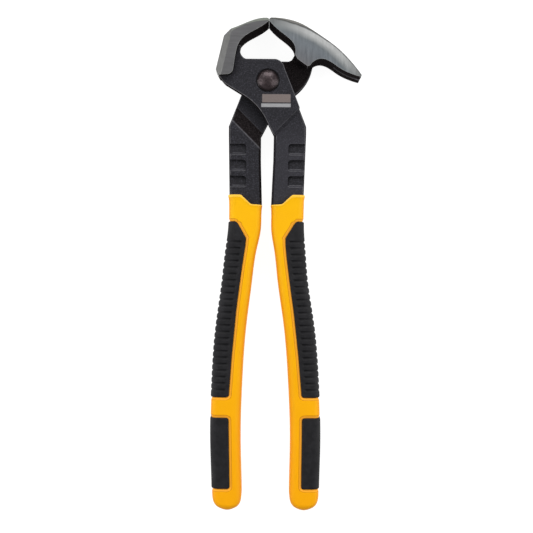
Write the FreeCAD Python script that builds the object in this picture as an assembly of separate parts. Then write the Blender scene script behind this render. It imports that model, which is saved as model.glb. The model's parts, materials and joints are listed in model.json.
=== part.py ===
import FreeCAD, Part
import math
import os

# Fencing pliers, in millimetres.
#
# While it is being drawn the tool lies flat with its pivot axis on Z, the jaws towards +Y and the
# handles towards -Y, and Z = 0 is the plane where the two halves lap. The finished pieces are then
# moved so that the origin is under the middle of the whole tool, on the surface that it lies on.

Vector = FreeCAD.Vector

# --- Driving dimensions -------------------------------------------------------------------------

HEAD_HALF = 9.5            # half the thickness of the hammer poll and the claw
LAP_OUTER = 6.5            # outer face of each lap plate, from the lap plane
LAP_CLEARANCE = 0.1        # each lap plate stops this far short of the lap plane
BAR_HALF = 5.0             # half the thickness of the handle bars
TANG_HALF = 4.0            # half the thickness of the tangs inside the grips

MEETING_X = 0.5            # where the closed jaws meet
JAW_CLEARANCE = 0.03       # each jaw stops this far short of the meeting line

STEP_FOOT = -21.0          # foot of the ramp under the bar, along the 45 degree step direction
STEP_TOP = -28.0           # where the ramp reaches the full bar thickness
CREASE_START = -22.0       # where the raised lap plate begins to slope down to the bar
CREASE_END = -23.7

RIVET_RADIUS = 4.0
RIVET_HEAD_RADIUS = 5.7
RIVET_HEAD_HEIGHT = 2.6
RIVET_SEAT_RADIUS = 6.3
RIVET_SEAT_DEPTH = 0.6
RUNNING_CLEARANCE = 0.05   # between the rivet and the half that turns on it

POCKET_HEIGHTS = (-36.2, -44.7, -53.2)   # middles of the three pockets in each bar
POCKET_LENGTH = 8.2
POCKET_WIDTH = 5.8
POCKET_CORNER = 1.6
POCKET_DEPTH = 1.4         # at its upper wall; the floor rises a little towards the lower one
POCKET_FOOT_DEPTH = 1.1
POCKET_SLOPE_LENGTH = 1.2  # the lower wall is a slope this long
POCKET_INNER_X = 11.2

CHAMFER_INSET = 3.5        # bevel between the striking face and each cheek, in from the edge
CHAMFER_DEPTH = 2.4
DRAFT_DEPTH = 4.4          # the bars' forged walls slope back from here below each face
INNER_DRAFT = 1.2          # by this much on the side between the handles
OUTER_DRAFT = 0.7

CLAW_SLOT_MOUTH = 3.6      # width of the claw's slot between the two tips
CLAW_SLOT_ROOT = 1.6
CLAW_SLOT_START_X = 36.0

INSERT_DEPTH = 2.6         # thickness of the soft inserts
INSERT_PROUD = 0.3         # how far they stand out of the sleeve
GRIP_CORNER = 5.8          # corner radius of the grip's cross-section
SLEEVE_EDGE = ((20.0, -60.3, 0), (13.8, -60.3, 0), (8.6, -65.3, 0), (2.7, -65.6, 0))
GRIP_END_ROUNDING = 5.2

RIB_COUNT = 24
RIB_FIRST_Y = -84.7
RIB_PITCH = 3.38
RIB_GROOVE_WIDTH = 1.2
RIB_GROOVE_DEPTH = 0.9
RIB_FIRST_X = 15.6         # inner end of the first groove, and how far the last one's has moved out
RIB_DRIFT = 7.6

# Each station of a grip: Y, sideways offset of its middle from the centre line, width, thickness.
GRIP_STATIONS = (
    (-58.0, 11.3, 17.7, 13.6),
    (-70.0, 11.5, 17.0, 14.4),
    (-79.0, 11.9, 16.5, 15.6),
    (-89.0, 13.7, 15.6, 17.0),
    (-106.0, 15.9, 15.8, 17.9),
    (-130.0, 18.8, 15.9, 18.2),
    (-160.0, 20.7, 16.3, 18.2),
    (-190.0, 21.3, 15.9, 18.2),
    (-212.0, 20.5, 15.7, 18.0),
    (-227.2, 20.0, 15.4, 17.2),
)

# The hammer half's handle bows out less than the claw half's: Y, and how far X is shifted there.
HAMMER_LEAN = (
    (-28.0, 0.0),
    (-60.0, -0.5),
    (-72.0, -0.6),
    (-80.0, -0.9),
    (-90.0, -1.5),
    (-100.0, -1.85),
    (-110.0, -1.8),
    (-130.0, -1.35),
    (-160.0, -0.8),
    (-190.0, -0.25),
    (-212.0, 0.1),
)


# --- Drawing helpers ----------------------------------------------------------------------------

def closed_face(*legs):
    """Flat face at Z = 0. A leg is a point for a straight run to it, a list of two points for an
    arc through the first to the second, or a longer list for a smooth curve through them all."""
    first = Vector(*legs[0])
    here = first
    edges = []
    for leg in legs[1:] + (legs[0],):
        stops = [Vector(*point) for point in leg] if isinstance(leg, list) else [Vector(*leg)]
        if len(stops) == 1:
            if here.distanceToPoint(stops[0]) > 1e-6:
                edges.append(Part.LineSegment(here, stops[0]).toShape())
        elif len(stops) == 2:
            edges.append(Part.Arc(here, stops[0], stops[1]).toShape())
        else:
            curve = Part.BSplineCurve()
            curve.interpolate([here] + stops)
            edges.append(curve.toShape())
        here = stops[-1]
    return Part.Face(Part.Wire(edges))


def prism(face, low, high):
    """Solid over a flat face, from Z = low to Z = high."""
    raised = face.copy()
    raised.translate(Vector(0, 0, low))
    return raised.extrude(Vector(0, 0, high - low))


def lean_at(y):
    """Sideways shift of the hammer half's handle at a height, run straight between the stations."""
    if y >= HAMMER_LEAN[0][0]:
        return HAMMER_LEAN[0][1]
    for (high, upper), (low, lower) in zip(HAMMER_LEAN[:-1], HAMMER_LEAN[1:]):
        if y >= low:
            return upper + (lower - upper) * (high - y) / (high - low)
    return HAMMER_LEAN[-1][1]


def leaned(legs, leaning):
    """The legs of an outline, shifted sideways with the hammer half's handle if leaning is set."""
    if not leaning:
        return legs
    return tuple(list(leaned(leg, True)) if isinstance(leg, list) else (leg[0] + lean_at(leg[1]), *leg[1:])
                 for leg in legs)


def turned_over(shape):
    """The same shape turned half a turn about the Y axis: the other lever's copy."""
    copy = shape.copy()
    copy.rotate(Vector(0, 0, 0), Vector(0, 1, 0), 180)
    return copy


def mirrored(shape):
    """The shape reflected across the centre line of the tool."""
    return shape.mirror(Vector(0, 0, 0), Vector(1, 0, 0))


# --- The forged levers --------------------------------------------------------------------------

def thickness_profile():
    """Solid that gives a lever its thickness: a thin lap plate on one side of the lap plane that
    ramps out to the full bar. Both steps run at 45 degrees to the handles."""
    far = 90.0
    face = closed_face(
        (far, LAP_CLEARANCE, 0),
        (far, LAP_OUTER, 0),
        (CREASE_START, LAP_OUTER, 0),
        (CREASE_END, BAR_HALF, 0),
        (-far, BAR_HALF, 0),
        (-far, -BAR_HALF, 0),
        (STEP_TOP, -BAR_HALF, 0),
        (STEP_FOOT, LAP_CLEARANCE, 0),
    )
    solid = face.extrude(Vector(0, 0, 2 * far))
    solid.translate(Vector(0, 0, -far))
    solid.rotate(Vector(0, 0, 0), Vector(1, 0, 0), 90)
    solid.rotate(Vector(0, 0, 0), Vector(0, 0, 1), 135)
    return solid


def bar_legs(leaning):
    """The outline of the right-hand bar, from the lap plate's right edge round to the crotch."""
    return leaned((
        (14.2, -7.2, 0),
        (20.6, -23.7, 0),
        (20.6, -28.0, 0),
        *SLEEVE_EDGE,
        (3.4, -42.0, 0),
        (3.4, -28.8, 0),
        (0.1, -22.4, 0),
    ), leaning)


def hammer_lap_face():
    """The hammer half seen flat: lap plate and bar, with the web that runs into the poll."""
    return closed_face(
        (-17.5, 19.0, 0),
        (-14.3, 18.2, 0),
        [(-14.7, 15.2, 0), (-13.5, 12.5, 0), (-11.6, 11.3, 0)],
        (3.6, 11.3, 0),
        [(6.9, 9.9, 0), (8.6, 6.9, 0)],
        *bar_legs(True),
        [(-5.2, -14.0, 0), (-12.4, -7.9, 0)],
        (-22.4, -1.8, 0),
        (-24.2, 0.2, 0),
        (-25.6, 2.4, 0),
        (-22.0, 10.0, 0),
    )


def claw_lap_face():
    """The claw half seen flat from its own outer side, drawn as if it were the front half: the
    web runs up into the claw's root."""
    return closed_face(
        (-18.0, 17.0, 0),
        (-14.3, 14.8, 0),
        (-12.6, 11.9, 0),
        (-11.0, 11.2, 0),
        (3.6, 11.3, 0),
        [(6.9, 9.9, 0), (8.6, 6.9, 0)],
        *bar_legs(False),
        [(-5.2, -14.0, 0), (-12.4, -7.9, 0)],
        (-15.5, -5.6, 0),
        [(-20.6, 0.2, 0), (-23.8, 8.2, 0)],
    )


def sloped_edge(start, end, inset, top, depth):
    """Wedge that slopes a wall back from its outline, by the inset at the face and by nothing at the
    depth below it. The material is on the left of the run from start to end."""
    run = Vector(*end) - Vector(*start)
    along = Vector(run).normalize()
    outward = Vector(along.y, -along.x, 0)
    past = 0.5
    above = 3.0
    foot = top - depth * (1 + past / inset)
    corners = []
    for out, height in ((-inset, top), (-inset, top + above), (past, top + above), (past, foot)):
        corners.append(Vector(*start) + outward * out + Vector(0, 0, height))
    return Part.Face(Part.makePolygon(corners + corners[:1])).extrude(run)


def cut_both_faces(body, tool):
    """The body less the tool and less the tool's reflection in the lap plane."""
    return body.cut(tool).cut(tool.mirror(Vector(0, 0, 0), Vector(0, 0, 1)))


def drafted(body, leaning):
    """The right-hand bar with its forged walls sloped back from both faces."""
    inner_run = leaned(((3.4, -28.8, 0), (3.4, -42.0, 0), SLEEVE_EDGE[-1]), leaning)
    outer_run = leaned((SLEEVE_EDGE[0], (20.6, -28.0, 0), (20.6, -23.7, 0), (16.9, -14.2, 0)), leaning)
    for run, inset in ((inner_run, INNER_DRAFT), (outer_run, OUTER_DRAFT)):
        for start, end in zip(run[:-1], run[1:]):
            body = cut_both_faces(body, sloped_edge(start, end, inset, BAR_HALF, DRAFT_DEPTH))
    return body


def pocket_tool(middle_y, inner):
    """One shallow pocket in the face of the right-hand bar, from its inner end at X = inner. It runs
    out through the outer edge."""
    half = POCKET_WIDTH / 2
    corner = POCKET_CORNER
    outer = inner + 2 * POCKET_LENGTH
    face = closed_face(
        (outer, middle_y + half, 0),
        (inner + corner, middle_y + half, 0),
        [(inner + 0.3 * corner, middle_y + half - 0.3 * corner, 0), (inner, middle_y + half - corner, 0)],
        (inner, middle_y - half + corner, 0),
        [(inner + 0.3 * corner, middle_y - half + 0.3 * corner, 0), (inner + corner, middle_y - half, 0)],
        (outer, middle_y - half, 0),
    )
    above = BAR_HALF + 1
    profile = closed_face(
        (0, middle_y + half, above),
        (0, middle_y + half, BAR_HALF - POCKET_DEPTH),
        (0, middle_y - half + POCKET_SLOPE_LENGTH, BAR_HALF - POCKET_FOOT_DEPTH),
        (0, middle_y - half, BAR_HALF),
        (0, middle_y - half, above),
    )
    return prism(face, 0, above).common(profile.extrude(Vector(outer, 0, 0)))


def tang(leaning):
    """The right-hand tang, hidden inside the grip. It follows the grip's bend."""
    face = closed_face(*leaned((
        (6.0, -55.0, 0),
        (15.3, -55.0, 0),
        (15.3, -72.0, 0),
        [(17.5, -90.0, 0), (21.6, -118.0, 0), (24.3, -150.0, 0), (25.1, -190.0, 0), (24.4, -207.0, 0)],
        [(20.9, -210.5, 0), (17.4, -207.0, 0)],
        [(17.5, -190.0, 0), (15.9, -150.0, 0), (13.2, -118.0, 0), (9.2, -90.0, 0), (6.0, -72.0, 0)],
    ), leaning))
    return prism(face, -TANG_HALF, TANG_HALF)


def lever(lap_face, leaning):
    """Lap plate, bar, pockets and tang of one half, as the front half with its bar on the right."""
    body = drafted(prism(lap_face, -20, 20).common(thickness_profile()), leaning)
    for middle_y in POCKET_HEIGHTS:
        shift = lean_at(middle_y) if leaning else 0.0
        body = cut_both_faces(body, pocket_tool(middle_y, POCKET_INNER_X + shift))
    return body.fuse(tang(leaning))


def rivet_seat():
    """Shallow round seat for the rivet's head in the outer face of a lap plate."""
    return Part.makeCylinder(RIVET_SEAT_RADIUS, 5, Vector(0, 0, LAP_OUTER - RIVET_SEAT_DEPTH))


def hammer_poll():
    """Hammer poll and left jaw: flat cheeks, tilted square striking face with a bevel along each
    cheek, pincer edge."""
    meeting = MEETING_X - JAW_CLEARANCE
    face = closed_face(
        (meeting, 30.9, 0),
        (meeting, 31.7, 0),
        (meeting - 0.9, 32.3, 0),
        [(-4.6, 32.0, 0), (-11.8, 29.6, 0), (-19.8, 26.4, 0)],
        (-23.3, 23.3, 0),
        (-27.5, 5.5, 0),
        (-25.6, 2.4, 0),
        (-21.6, 2.6, 0),
        [(-19.2, 3.6, 0), (-18.2, 6.0, 0)],
        (-17.4, 11.5, 0),
        [(-16.7, 15.2, 0), (-15.6, 18.6, 0), (-12.6, 22.4, 0), (-8.4, 25.1, 0), (-3.4, 27.9, 0),
         (meeting, 30.9, 0)],
    )
    poll = prism(face, -HEAD_HALF, HEAD_HALF)
    # The bevel follows the striking face's line, run on well past both of its ends.
    above_face = (-18.6, 43.2, 0)
    below_face = (-32.5, -15.7, 0)
    return cut_both_faces(poll, sloped_edge(above_face, below_face, CHAMFER_INSET, HEAD_HALF, CHAMFER_DEPTH))


def claw_head():
    """Claw and right jaw: a long tapering curve, split at its tip into two prongs."""
    meeting = MEETING_X + JAW_CLEARANCE
    face = closed_face(
        (meeting, 30.9, 0),
        (meeting, 31.7, 0),
        (meeting + 0.8, 32.4, 0),
        [(8.0, 32.0, 0), (17.0, 29.5, 0), (26.0, 24.2, 0), (35.0, 17.9, 0), (43.0, 10.3, 0), (49.2, 2.6, 0)],
        (48.9, 1.6, 0),
        [(43.8, 3.2, 0), (37.6, 6.2, 0), (32.6, 9.6, 0), (27.6, 11.0, 0), (24.4, 9.9, 0), (22.2, 7.6, 0)],
        (20.8, 7.0, 0),
        (15.4, 10.9, 0),
        (14.2, 13.2, 0),
        [(14.4, 15.2, 0), (14.0, 17.6, 0), (12.0, 20.6, 0), (6.2, 25.3, 0), (2.3, 28.8, 0), (meeting, 30.9, 0)],
    )
    head = prism(face, -HEAD_HALF, HEAD_HALF)
    return head.cut(claw_slot())


def claw_slot():
    """Tapering slot between the two prongs, with a rounded root."""
    mouth = CLAW_SLOT_MOUTH / 2
    root = CLAW_SLOT_ROOT / 2
    face = closed_face(
        (CLAW_SLOT_START_X, root, 0),
        [(CLAW_SLOT_START_X - root, 0, 0), (CLAW_SLOT_START_X, -root, 0)],
        (52.0, -mouth, 0),
        (52.0, mouth, 0),
    )
    tool = face.extrude(Vector(0, 0, 60))
    tool.rotate(Vector(0, 0, 0), Vector(1, 0, 0), -90)
    tool.translate(Vector(0, -20, 0))
    return tool


def hammer_half():
    body = lever(hammer_lap_face(), True).fuse(hammer_poll())
    bore = Part.makeCylinder(RIVET_RADIUS, 40, Vector(0, 0, -20))
    return body.cut(bore).cut(rivet_seat()).removeSplitter()


def claw_half():
    body = turned_over(lever(claw_lap_face(), False)).fuse(claw_head())
    bore = Part.makeCylinder(RIVET_RADIUS + RUNNING_CLEARANCE, 40, Vector(0, 0, -20))
    return body.cut(bore).cut(turned_over(rivet_seat())).removeSplitter()


def pivot_rivet():
    """Domed at both ends. The front head is tight on its seat, the rear one turns over its own."""
    front = LAP_OUTER - RIVET_SEAT_DEPTH
    back = -front - RUNNING_CLEARANCE
    rim = 0.5
    crown_radius = (RIVET_HEAD_RADIUS ** 2 + (RIVET_HEAD_HEIGHT - rim) ** 2) / (2 * (RIVET_HEAD_HEIGHT - rim))
    lean = math.asin(RIVET_HEAD_RADIUS / crown_radius) / 2
    shoulder = Vector(crown_radius * math.sin(lean), crown_radius * (math.cos(lean) - 1), 0)
    top = front + RIVET_HEAD_HEIGHT
    foot = back - RIVET_HEAD_HEIGHT
    half = closed_face(
        (0, foot, 0),
        [(shoulder.x, foot - shoulder.y, 0), (RIVET_HEAD_RADIUS, back - rim, 0)],
        (RIVET_HEAD_RADIUS, back, 0),
        (RIVET_RADIUS, back, 0),
        (RIVET_RADIUS, front, 0),
        (RIVET_HEAD_RADIUS, front, 0),
        (RIVET_HEAD_RADIUS, front + rim, 0),
        [(shoulder.x, top + shoulder.y, 0), (0, top, 0)],
    )
    rivet = half.revolve(Vector(0, 0, 0), Vector(0, 1, 0), 360)
    rivet.rotate(Vector(0, 0, 0), Vector(1, 0, 0), 90)
    return rivet


# --- The grips ----------------------------------------------------------------------------------

def grip_section(y, middle, width, thickness):
    """Rounded rectangle across a grip, in the plane Y = y."""
    corner = min(GRIP_CORNER, 0.42 * min(width, thickness))
    side = width / 2
    face = thickness / 2
    bend = corner * (1 - math.sqrt(0.5))
    points = []
    for sx, sz in ((1, 1), (-1, 1), (-1, -1), (1, -1)):
        side_point = Vector(middle + sx * side, y, sz * (face - corner))
        bend_point = Vector(middle + sx * (side - bend), y, sz * (face - bend))
        face_point = Vector(middle + sx * (side - corner), y, sz * face)
        points.append((side_point, bend_point, face_point) if sx == sz
                      else (face_point, bend_point, side_point))
    edges = []
    for index, (start, bend_point, end) in enumerate(points):
        edges.append(Part.Arc(start, bend_point, end).toShape())
        edges.append(Part.LineSegment(end, points[(index + 1) % 4][0]).toShape())
    return Part.Wire(edges)


def grip_body(inset, leaning):
    """The right-hand grip as one smooth solid, shrunk by an inset all round except at its top."""
    sections = []
    for y, middle, width, thickness in GRIP_STATIONS:
        shift = lean_at(y) if leaning else 0.0
        sections.append(grip_section(y, middle + shift, width - 2 * inset, thickness - 2 * inset))
    body = Part.makeLoft(sections, True, False)
    end = min(body.Faces, key=lambda face: face.CenterOfMass.y)
    return body.makeFillet(max(GRIP_END_ROUNDING - inset, 1.0), end.Edges)


def sleeve_top_cut(leaning):
    """Everything above the sleeve's stepped upper edge, which butts against the bar."""
    face = closed_face(*leaned((
        (40.0, -60.3, 0),
        *SLEEVE_EDGE,
        (-10.0, -65.6, 0),
        (-10.0, 0.0, 0),
        (40.0, 0.0, 0),
    ), leaning))
    return prism(face, -30, 30)


def ribbed_insert_area(leaning):
    """Flat outline of the ribbed insert on the right-hand grip, open-ended past the outer side."""
    face = closed_face(*leaned((
        (40.0, -74.6, 0),
        (17.2, -74.4, 0),
        (15.4, -75.6, 0),
        (11.3, -82.4, 0),
        [(11.2, -86.0, 0), (13.6, -101.5, 0), (15.9, -120.0, 0), (18.1, -145.0, 0), (19.5, -164.6, 0)],
        [(20.0, -166.2, 0), (21.4, -166.9, 0)],
        (40.0, -166.9, 0),
    ), leaning))
    return prism(face, -30, 30)


def palm_insert_area(leaning):
    """Flat outline of the smooth insert below it."""
    face = closed_face(*leaned((
        (40.0, -177.3, 0),
        (21.2, -178.0, 0),
        [(19.9, -178.7, 0), (19.5, -180.2, 0)],
        (18.8, -212.8, 0),
        [(19.3, -214.4, 0), (20.8, -215.0, 0)],
        (40.0, -215.0, 0),
    ), leaning))
    return prism(face, -30, 30)


def rib_grooves(core, leaning):
    """The slots between the ribs: slices across the outer side, as deep as the core lets them."""
    slices = []
    for index in range(RIB_COUNT):
        y = RIB_FIRST_Y - index * RIB_PITCH
        along = index / (RIB_COUNT - 1)
        shift = lean_at(y) if leaning else 0.0
        inner_x = RIB_FIRST_X + RIB_DRIFT * math.sin(along * math.pi / 2) + shift
        slab = Part.makeBox(30, RIB_GROOVE_WIDTH, 60, Vector(inner_x, y - RIB_GROOVE_WIDTH, -30))
        slices.append(slab)
    return Part.makeCompound(slices).cut(core)


def grip(leaning):
    """Sleeve, ribbed insert and palm insert of one handle, as the right-hand one."""
    skin = grip_body(0.0, leaning)
    proud = grip_body(-INSERT_PROUD, leaning)
    core = grip_body(INSERT_DEPTH, leaning)
    shell = proud.cut(core)
    ribbed = shell.common(ribbed_insert_area(leaning))
    palm = shell.common(palm_insert_area(leaning))
    sleeve = skin.cut(sleeve_top_cut(leaning)).cut(ribbed).cut(palm).cut(tang(leaning))
    ribbed = ribbed.cut(rib_grooves(grip_body(RIB_GROOVE_DEPTH, leaning), leaning))
    return {"grip_sleeve": sleeve, "ribbed_insert": ribbed, "palm_insert": palm}


# --- Assembly -----------------------------------------------------------------------------------

def all_parts():
    parts = {
        "hammer_half": hammer_half(),
        "claw_half": claw_half(),
        "pivot_rivet": pivot_rivet(),
    }
    for name, shape in grip(leaning=True).items():
        parts["right_" + name] = shape
    for name, shape in grip(leaning=False).items():
        parts["left_" + name] = mirrored(shape)
    return parts


def main():
    parts = all_parts()
    box = Part.makeCompound(list(parts.values())).optimalBoundingBox(False)
    shift = Vector(-box.Center.x, -box.Center.y, -box.ZMin)
    os.makedirs("parts", exist_ok=True)
    for name, shape in parts.items():
        shape.translate(shift)
        print(name, "solids", len(shape.Solids), "valid", shape.isValid(), "volume", round(shape.Volume))
        shape.exportStep("parts/" + name + ".step")
    print("box", round(box.XLength, 3), round(box.YLength, 3), round(box.ZLength, 3))
    print("pivot axis at", round(shift.x, 3), round(shift.y, 3), "lap plane at", round(shift.z, 3))


main()
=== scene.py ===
import json
import math

import bpy
import numpy as np
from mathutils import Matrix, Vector


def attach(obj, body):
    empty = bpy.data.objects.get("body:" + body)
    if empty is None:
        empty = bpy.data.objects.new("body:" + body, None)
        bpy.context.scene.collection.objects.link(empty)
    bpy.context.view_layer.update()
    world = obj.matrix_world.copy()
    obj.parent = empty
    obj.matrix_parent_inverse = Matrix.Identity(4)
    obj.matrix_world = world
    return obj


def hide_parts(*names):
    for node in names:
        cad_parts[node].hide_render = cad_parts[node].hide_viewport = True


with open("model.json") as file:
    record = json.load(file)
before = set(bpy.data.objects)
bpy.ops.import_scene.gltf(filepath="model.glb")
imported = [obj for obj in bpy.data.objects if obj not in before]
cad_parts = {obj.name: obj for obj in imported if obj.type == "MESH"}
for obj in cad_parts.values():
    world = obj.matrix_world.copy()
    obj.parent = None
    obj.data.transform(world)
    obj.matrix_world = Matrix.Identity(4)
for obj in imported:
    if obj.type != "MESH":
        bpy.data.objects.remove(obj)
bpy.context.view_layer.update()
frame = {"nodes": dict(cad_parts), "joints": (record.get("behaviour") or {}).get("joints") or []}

# Fencing pliers. The scene is in metres. Shapes are drawn in millimetres from the pivot: X across the
# tool, Y towards the jaws, Z up from the plane where the two halves lap.

MM = 0.001
PIVOT = Vector(frame["joints"][0]["pos_m"])

# --- Sizes of the grips, in millimetres from the pivot -------------------------------------------

# Everything is drawn for the right-hand grip, and the left-hand one is its mirror image.

# Y, sideways offset of the grip's middle from the centre line, width, thickness
GRIP_STATIONS = np.array((
    (-58.0, 11.4, 17.7, 13.6),
    (-70.0, 11.5, 17.1, 14.4),
    (-79.0, 11.8, 17.0, 15.6),
    (-89.0, 13.5, 16.2, 16.9),
    (-106.0, 15.6, 15.7, 17.8),
    (-130.0, 18.6, 15.9, 18.0),
    (-160.0, 20.55, 15.9, 18.0),
    (-190.0, 21.05, 15.6, 18.0),
    (-212.0, 20.35, 15.45, 17.9),
    (-228.0, 20.0, 15.5, 17.4),
))
# The hammer half's handle bows out less than the claw half's: Y, and how far X is shifted there
LEAN_Y = (-226.0, -212.0, -190.0, -160.0, -130.0, -110.0, -100.0, -90.0, -80.0, -72.0, -60.0, -28.0)
LEAN_X = (0.5, 0.2, -0.1, -0.65, -1.2, -1.75, -1.85, -1.5, -0.9, -0.6, -0.5, 0.0)
GRIP_CORNER = 3.6           # corner radius of the section
GRIP_CROWN = 0.15           # how far each face bulges in its middle
CROWNED_WIDTH = 4.0         # a face narrower than this is left flat
GRIP_END_Y = -226.6
GRIP_END_LENGTH = 10.4      # over which the end narrows, much as half an ellipse does
GRIP_END_BLUNTNESS = 3.4    # 2 would be a true ellipse
GRIP_END_ROUNDING = 3.6     # of the faces towards the end

SLEEVE_EDGE_X = (2.7, 8.6, 13.8, 20.2)      # the stepped front edge
SLEEVE_EDGE_Y = (-65.6, -65.3, -60.3, -60.3)
SLEEVE_EDGE_SOFTNESS = 0.7  # how far to each side the step's corners are softened
SLEEVE_TOP = max(SLEEVE_EDGE_Y)
SLEEVE_EDGE_FADE = 12.5     # below its stepped edge, how far the sleeve's rings take to run level
SLEEVE_FLARE = 0.4          # how far the sleeve's front end flares out, and over what length
SLEEVE_FLARE_LENGTH = 3.2
# Section of the sleeve's front rim: how far back from the edge, and how far off the skin
SLEEVE_RIM = (
    (0.0, -3.0), (0.0, -1.6), (0.0, -0.3), (0.08, -0.08),
    (0.3, 0.06), (0.9, 0.1), (1.25, 0.1), (1.5, 0.0),
)
SLEEVE_RIM_WIDTH = 1.3      # of the part that is tinted lighter as a painted highlight on the rim

RIBBED_EDGE_Y = (-166.9, -164.6, -145.0, -120.0, -101.5, -87.0, -83.2, -75.7, -74.4)
RIBBED_EDGE_X = (19.35, 19.25, 17.9, 15.6, 13.3, 11.15, 10.9, 15.2, 16.4)
PALM_EDGE_Y = (-215.0, -177.6)
PALM_EDGE_X = (18.65, 19.45)
BETWEEN_INSERTS_Y = -171.5
INSERT_CORNERS = (1.5, 0.6)   # outline's corner radius: on the whole, and at the ribbed insert's top
TOP_CORNERS_Y = (-110.0, -95.0)
INSERT_PROUD = 0.3          # how far an insert stands out of the grip's skin
INSERT_EDGE_ROUNDING = 0.8
INSERT_OVERLAP = 0.25       # how far an insert's mesh runs on under the sleeve's border
INSERT_DEPTH = 2.4          # from the grip's skin to the insert's inner skin
BEVEL_WIDTH = 1.5           # sleeve's sloping border round each insert
BEVEL_DEPTH = 0.55
HIDDEN_DEPTH = 1.7          # from the grip's skin to the sleeve's seat under an insert

RIB_COUNT = 24
RIB_FIRST_Y = -85.3         # middle of the first groove
RIB_PITCH = 3.38
RIB_SIDE_DEPTH = 0.34       # of the grooves, on the grip's outer side
RIB_FACE_DEPTH = 0.55       # and at their inner ends on the two faces
RIB_LEAST_DEPTH = 0.12
RIB_MARGIN = 1.9            # plain strip between the grooves' ends and the insert's edge

# --- Places on the steel pieces, in millimetres from the pivot -----------------------------------

CLAW_SIDE = 1               # which way each half's ramp faces
HAMMER_SIDE = -1
STEP_FOOT = -21.0           # foot and top of the ramp under each bar, along its slope
STEP_TOP = -28.0
BAR_Y = (-20.0, -34.0)      # over which the hammer half's plate runs into its bar
BETWEEN_BARS = ((-8.0, -66.0), (8.0, -32.0))

POCKET_PITCH = 8.5
POCKET_SLOPE_Y = -56.3      # top of the lowest pocket's sloping wall
POCKETS_Y = (-56.6, -33.0)
POCKETS_LEFT_SHIFT = 0.4    # how much further out the claw half's pockets lie
POCKET_FACES_Y = (-57.0, -33.0)
POCKET_LEVELS = (3.0, 4.95)   # the pockets' floors and slopes are this far from the lap plane

SEAT_EDGE = (6.6, 7.6)      # distance from the pivot over which the rivet's seat ends
# where the painted shadow round the rivet head rises, in millimetres from the pivot
RIVET_BRIM_SHADOW = (4.4, 5.7)
LABEL_BARS = (((-2.9, -11.6), (12.0, -7.3)), ((-3.4, -14.1), (12.1, -12.2)))

HEAD_Y = 2.0                # the poll and the claw lie above this
POLL_BACK_Y = 2.4           # and the poll's outward faces above this
POLL_BEVEL_X = -19.0        # the bevels along the striking face lie to the left of this,
POLL_BEVEL_LEVEL = 6.6      # and further than this from the lap plane
CHEEK_LEVEL = 9.3           # the ground cheeks are further from the lap plane than this
BAR_SLOPE_LEVELS = (4.5, 7.0)    # the slopes that run from the lap plates down to the bars
BAR_SLOPE_Y = -14.0
LAP_LEVEL = 0.6             # faces nearer the lap plane than this are in the lap
LAP_Y = -9.0
POLL_ARC = (0.4, -5.3, 37.5)     # the circle that the hammer jaw's top follows: centre and radius
CLAW_ARC = (-7.4, -34.9, 68.2)   # the circle that the claw's back follows
CLAW_HIGHLIGHT = (28.0, 18.5)        # middle of the painted highlight band on the claw's cheek


# --- Mesh helpers --------------------------------------------------------------------------------

def to_metres(points):
    """Points in millimetres from the pivot, as points of the frame in metres."""
    return np.asarray(points) * MM + np.array(PIVOT)


def make_object(name, points, faces, material, body, slot, node):
    """One closed mesh in the frame that stands for a CAD node and rides on its body."""
    mesh = bpy.data.meshes.new(name)
    mesh.from_pydata(to_metres(points).tolist(), [], faces)
    mesh.materials.append(material)
    mesh.polygons.foreach_set("use_smooth", [True] * len(mesh.polygons))
    mesh.update()
    piece = bpy.data.objects.new(name, mesh)
    bpy.context.scene.collection.objects.link(piece)
    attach(piece, body)
    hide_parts(node)
    return piece


def smoothstep(low, high, value):
    share = np.clip((value - low) / (high - low), 0.0, 1.0)
    return share * share * (3 - 2 * share)


def spline_at(knots, values, places):
    """Natural cubic spline through (knots, values), read at the given places."""
    order = np.argsort(knots)
    knots = np.asarray(knots, float)[order]
    values = np.asarray(values, float)[order]
    count = len(knots)
    gaps = np.diff(knots)
    system = np.eye(count)
    right = np.zeros(count)
    for k in range(1, count - 1):
        system[k, k - 1:k + 2] = gaps[k - 1], 2 * (gaps[k - 1] + gaps[k]), gaps[k]
        slope_after = (values[k + 1] - values[k]) / gaps[k]
        slope_before = (values[k] - values[k - 1]) / gaps[k - 1]
        right[k] = 6 * (slope_after - slope_before)
    bends = np.linalg.solve(system, right)
    cell = np.clip(np.searchsorted(knots, places) - 1, 0, count - 2)
    gap = gaps[cell]
    low = (knots[cell + 1] - places) / gap
    high = (places - knots[cell]) / gap
    curve = (low ** 3 - low) * bends[cell] + (high ** 3 - high) * bends[cell + 1]
    return low * values[cell] + high * values[cell + 1] + curve * gap ** 2 / 6


def graded(*stops):
    """Places from the first stop to the last. Each stop is (place, step used up to the next stop)."""
    places = []
    for (start, step), (end, _) in zip(stops[:-1], stops[1:]):
        count = max(1, round(abs(end - start) / step))
        places.extend(np.linspace(start, end, count, endpoint=False))
    places.append(stops[-1][0])
    return np.array(places)


# --- The grip's skin -----------------------------------------------------------------------------

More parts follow.
